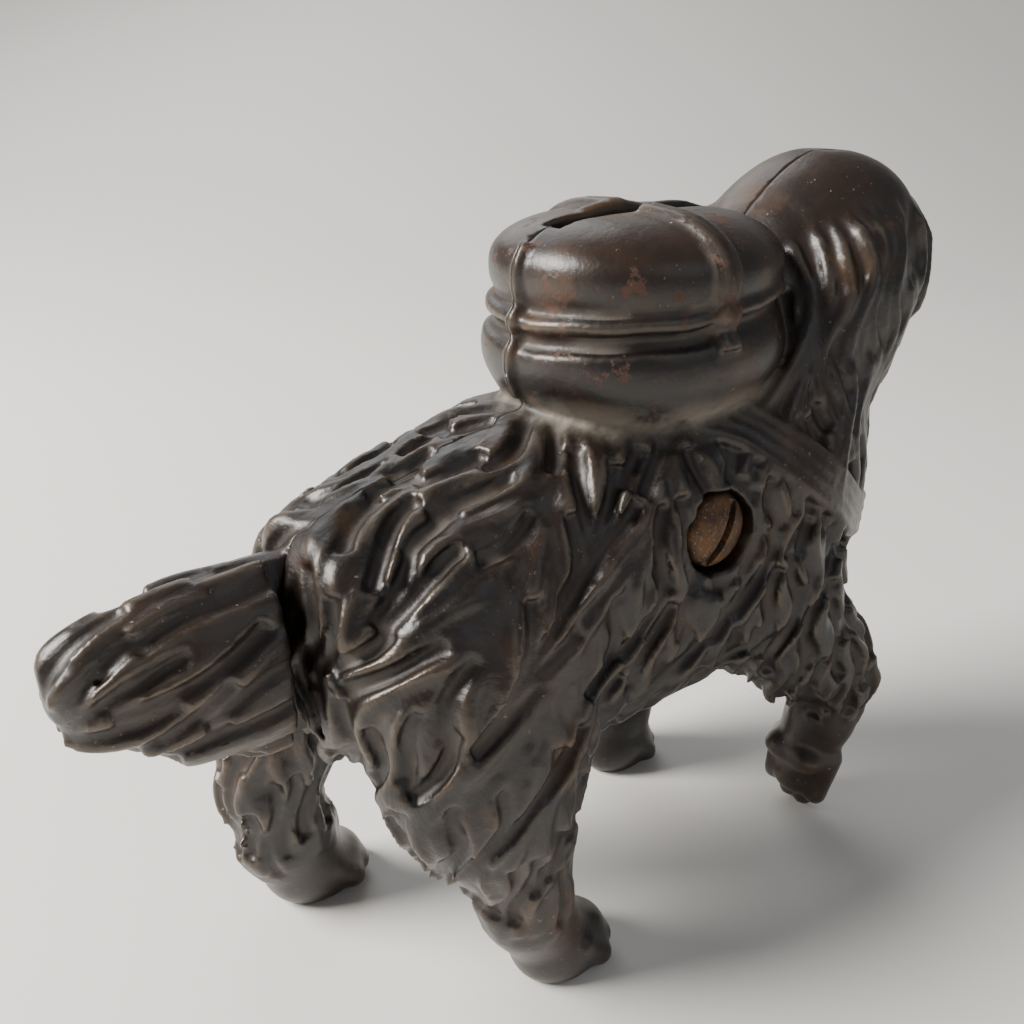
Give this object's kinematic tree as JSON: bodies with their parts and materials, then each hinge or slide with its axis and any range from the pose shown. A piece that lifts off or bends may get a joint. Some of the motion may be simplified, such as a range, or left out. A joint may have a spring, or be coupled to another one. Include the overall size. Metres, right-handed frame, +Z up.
{
  "type": "still bank",
  "caption": "Cast iron still bank: a walking long-haired dog with a strapped pack, in two half castings held by one side screw, with a coin slot in the pack.",
  "frame": {"origin": "middle of the bounding box at the soles, on the parting plane", "axes": "+X the way the dog faces, +Y its left side, +Z up; the castings part on the plane Y = 0"},
  "size_m": [0.1271, 0.044, 0.0949],
  "materials": {
    "left_half": "worn dark brown japanned iron, semi-gloss",
    "right_half": "worn dark brown japanned iron, semi-gloss",
    "assembly_screw": "rust-brown steel, dull"
  },
  "bodies": {
    "left_half": {"left_half": "left_half"},
    "right_half": {"right_half": "right_half"},
    "screw": {"assembly_screw": "assembly_screw"}
  },
  "joints": [
    {"name": "right_half_off", "type": "slide", "parent": "left_half", "child": "right_half", "axis": [0, -1, 0], "range_m": [0, 0.05]},
    {"name": "screw_withdraw", "type": "slide", "parent": "right_half", "child": "screw", "axis": [0, -1, 0], "range_m": [0, 0.04]}
  ]
}
